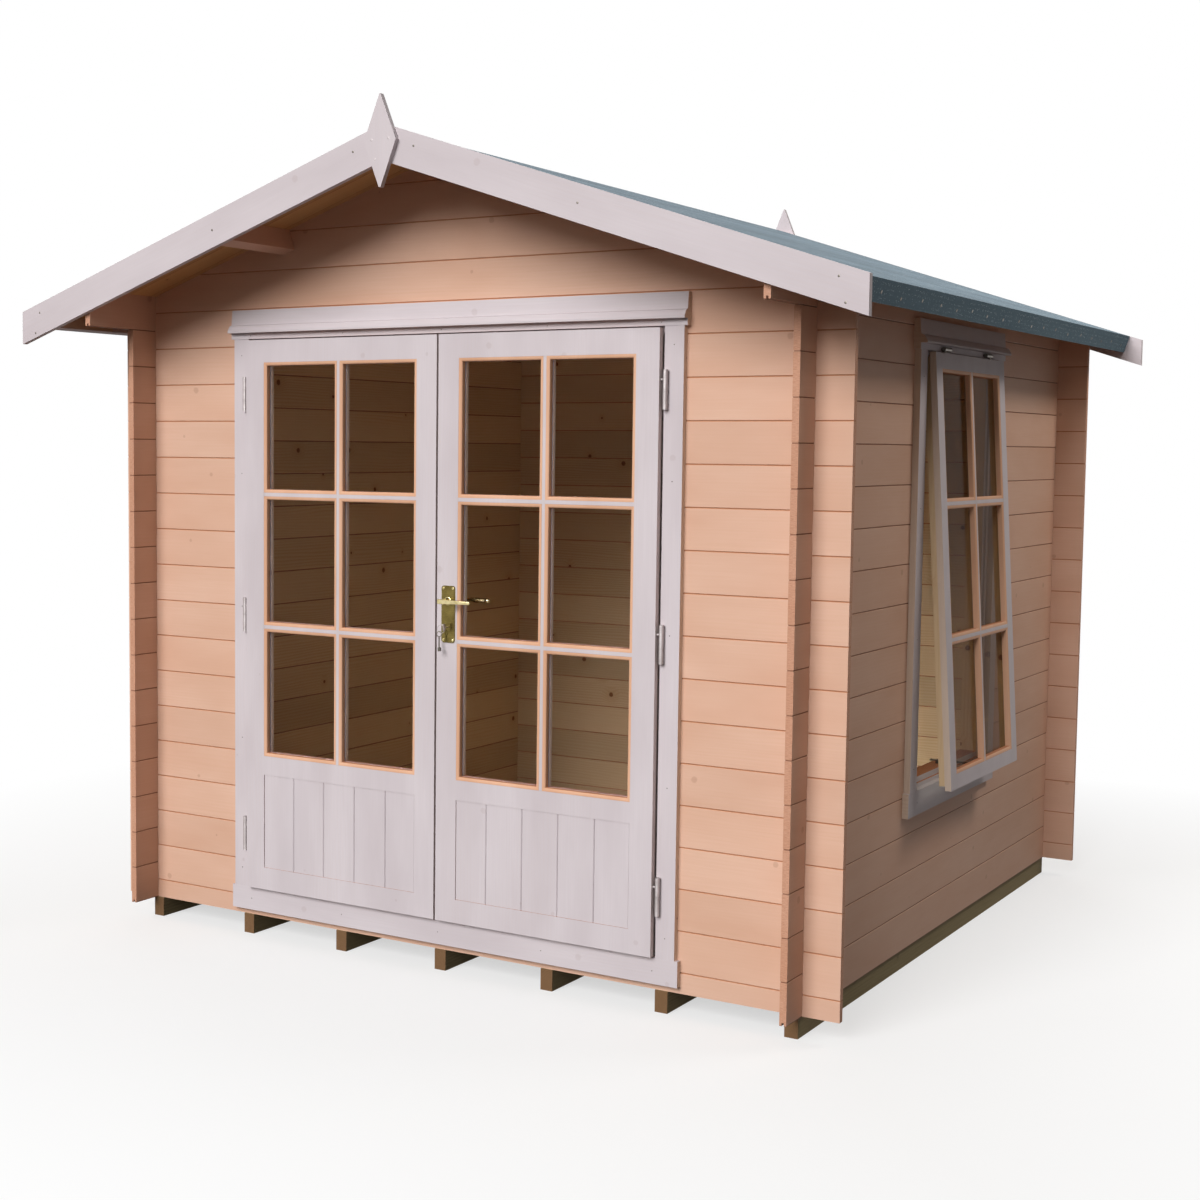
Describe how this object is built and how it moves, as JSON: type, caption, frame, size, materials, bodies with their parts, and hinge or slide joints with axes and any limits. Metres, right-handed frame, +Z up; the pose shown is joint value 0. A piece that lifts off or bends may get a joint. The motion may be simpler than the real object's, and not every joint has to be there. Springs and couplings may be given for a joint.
{
  "type": "log cabin",
  "caption": "Small garden log cabin with interlocked log corners, felted apex roof, glazed double doors and a top-hung side window",
  "frame": {"origin": "on the ground under the middle of the square log plan, on the underside of the middle bearer", "axes": "+Z up, the door front faces -Y, +X to the right seen from the front"},
  "size_m": [2.758, 2.7285, 2.4701],
  "materials": {
    "treated_timber": "rough sawn, pressure treated",
    "bare_pine": "planed, untreated",
    "peach_paint": "matt paint over planed pine",
    "white_paint": "matt paint over planed pine",
    "felt": "mineral chippings on bitumen felt",
    "steel": "zinc plated",
    "brass": "polished",
    "clear_glass": "clear float"
  },
  "bodies": {
    "cabin": {"floor_bearers": "treated_timber", "floor_boards": "bare_pine", "roof_boards_left": "bare_pine", "roof_boards_right": "bare_pine", "front_sill_log": "peach_paint", "front_wall_left": "peach_paint", "front_wall_right": "peach_paint", "front_gable": "peach_paint", "rear_wall": "peach_paint", "left_wall": "peach_paint", "right_wall_lower": "peach_paint", "right_wall_front": "peach_paint", "right_wall_rear": "peach_paint", "right_wall_upper": "peach_paint", "eaves_logs": "peach_paint", "purlins": "peach_paint", "eaves_boards": "white_paint", "front_bargeboards": "white_paint", "rear_bargeboards": "white_paint", "finials": "white_paint", "door_frame": "white_paint", "window_frame": "white_paint", "architraves": "white_paint", "head_crowns": "white_paint", "sill_trims": "white_paint", "window_sash": "white_paint", "roof_felt": "felt", "door_frame_hinges": "steel", "window_hinges": "steel", "window_stay": "steel", "window_glass": "clear_glass"},
    "left_leaf": {"left_leaf_frame": "white_paint", "left_leaf_glass": "clear_glass", "left_leaf_panel": "white_paint", "left_leaf_hinges": "steel"},
    "right_leaf": {"right_leaf_frame": "white_paint", "right_leaf_glass": "clear_glass", "right_leaf_panel": "white_paint", "right_leaf_hinges": "steel", "lock_plates": "brass"},
    "lever": {"lever_handles": "brass"}
  },
  "joints": [
    {"name": "left_leaf_hinge", "type": "hinge", "parent": "cabin", "child": "left_leaf", "pos_m": [-0.717, -1.155, 1], "axis": [0, 0, -1], "range_deg": [0, 150]},
    {"name": "right_leaf_hinge", "type": "hinge", "parent": "cabin", "child": "right_leaf", "pos_m": [0.717, -1.155, 1], "axis": [0, 0, 1], "range_deg": [0, 150]},
    {"name": "lever_turn", "type": "hinge", "parent": "right_leaf", "child": "lever", "pos_m": [0.0433, -1.127, 1.088], "axis": [0, 1, 0], "range_deg": [0, 40], "stiffness_Nm_per_rad": 1.2, "springref_deg": -22.92}
  ]
}
